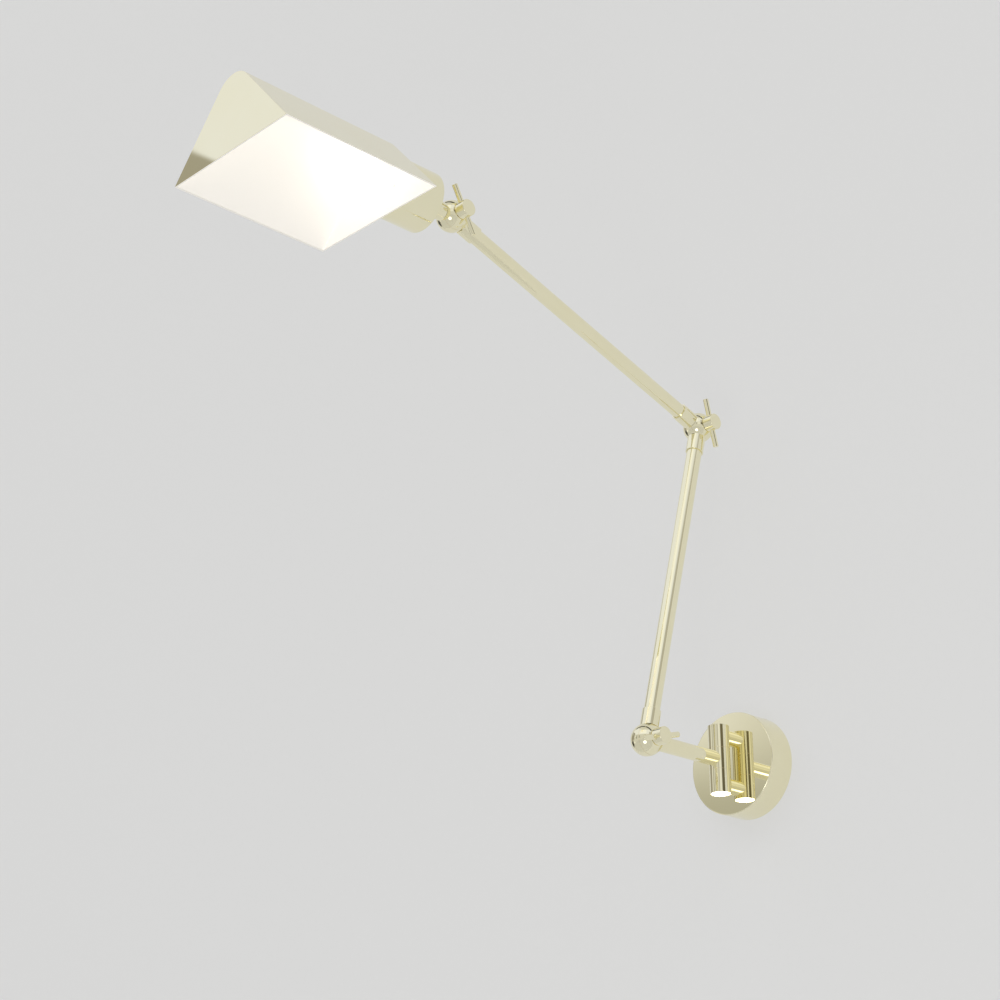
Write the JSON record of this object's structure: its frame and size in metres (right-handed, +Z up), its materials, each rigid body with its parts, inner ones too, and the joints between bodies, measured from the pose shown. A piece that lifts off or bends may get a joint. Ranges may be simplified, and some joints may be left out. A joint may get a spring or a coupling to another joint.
{
  "type": "articulating wall lamp",
  "caption": "Wall lamp with a round canopy, vertical hinge barrel, swivelling stem, tube arms on ball knuckles with T-handle clamps, and a tent-shaped metal shade.",
  "frame": {"origin": "centre of the mounting disc's back face, on the wall plane", "axes": "+Y into the wall, +Z up, so the lamp reaches out along -Y; the ball hinges lie along X with their clamp knobs on +X"},
  "size_m": [0.182, 0.7489, 0.6265],
  "materials": {
    "polished_brass": "polished, lacquered, pale gold",
    "zinc_steel": "zinc plated",
    "spring_steel": "spring temper, dull",
    "fibre_washer": "pressed fibre",
    "terminal_plastic": "moulded",
    "bare_brass": "bare, dull",
    "white_ceramic": "unglazed",
    "opal_lens": "opal diffuser, lit",
    "led_board": "white solder mask",
    "opal_glass": "opal glass, lit",
    "bulb_cap_metal": "threaded cap",
    "white_enamel": "white enamel, satin"
  },
  "bodies": {
    "wall_side": {"mount_disc": "zinc_steel", "canopy": "polished_brass", "canopy_screws": "zinc_steel", "backing_plate": "zinc_steel", "terminal_block": "terminal_plastic", "terminal_screws": "bare_brass", "earth_screw": "bare_brass", "post_upper": "polished_brass", "post_lower": "polished_brass", "post_bolts": "zinc_steel", "barrel_upper": "polished_brass", "barrel_lower": "polished_brass", "barrel_cap": "polished_brass", "foot_lens": "opal_lens", "foot_led": "led_board", "hinge_shaft": "zinc_steel", "barrel_washers": "fibre_washer"},
    "stem": {"barrel_middle": "polished_brass", "stem_tube": "polished_brass", "stem_ball": "polished_brass", "friction_washers_1": "fibre_washer", "spring_washer_1": "spring_steel"},
    "clamp_1": {"clamp_knob_1": "polished_brass", "clamp_bar_1": "polished_brass"},
    "lower_arm": {"lower_foot": "polished_brass", "lower_tube": "polished_brass", "lower_head": "polished_brass", "friction_washers_2": "fibre_washer", "spring_washer_2": "spring_steel"},
    "clamp_2": {"clamp_knob_2": "polished_brass", "clamp_bar_2": "polished_brass"},
    "upper_arm": {"upper_foot": "polished_brass", "upper_tube": "polished_brass", "upper_head": "polished_brass", "friction_washers_3": "fibre_washer", "spring_washer_3": "spring_steel"},
    "clamp_3": {"clamp_knob_3": "polished_brass", "clamp_bar_3": "polished_brass"},
    "head": {"head_neck": "polished_brass", "socket_housing": "polished_brass", "neck_nut": "zinc_steel", "lampholder_body": "white_ceramic", "lampholder_shell": "bare_brass", "lampholder_contact": "bare_brass", "bulb_cap": "bulb_cap_metal", "bulb_globe": "opal_glass", "shade_skin": "polished_brass", "shade_gable_front": "polished_brass", "shade_gable_rear": "polished_brass", "shade_liner": "white_enamel", "shade_screws": "zinc_steel"}
  },
  "joints": [
    {"name": "stem_swivel", "type": "hinge", "parent": "wall_side", "child": "stem", "pos_m": [0, -0.0542, 0], "axis": [0, 0, 1], "range_deg": [-80, 80]},
    {"name": "lower_arm_hinge", "type": "hinge", "parent": "stem", "child": "lower_arm", "pos_m": [0, -0.1712, 0], "axis": [1, 0, 0], "range_deg": [-5, 115]},
    {"name": "elbow_hinge", "type": "hinge", "parent": "lower_arm", "child": "upper_arm", "pos_m": [0, -0.06716, 0.39658], "axis": [1, 0, 0], "range_deg": [-65, 21]},
    {"name": "shade_tilt", "type": "hinge", "parent": "upper_arm", "child": "head", "pos_m": [0, -0.45687, 0.52396], "axis": [1, 0, 0], "range_deg": [-25, 85]},
    {"name": "clamp_turn_1", "type": "hinge", "parent": "stem", "child": "clamp_1", "pos_m": [0, -0.1712, 0], "axis": [1, 0, 0], "range_deg": [0, 150]},
    {"name": "clamp_turn_2", "type": "hinge", "parent": "lower_arm", "child": "clamp_2", "pos_m": [0, -0.06716, 0.39658], "axis": [1, 0, 0], "range_deg": [0, 150]},
    {"name": "clamp_turn_3", "type": "hinge", "parent": "upper_arm", "child": "clamp_3", "pos_m": [0, -0.45687, 0.52396], "axis": [1, 0, 0], "range_deg": [0, 150]}
  ]
}
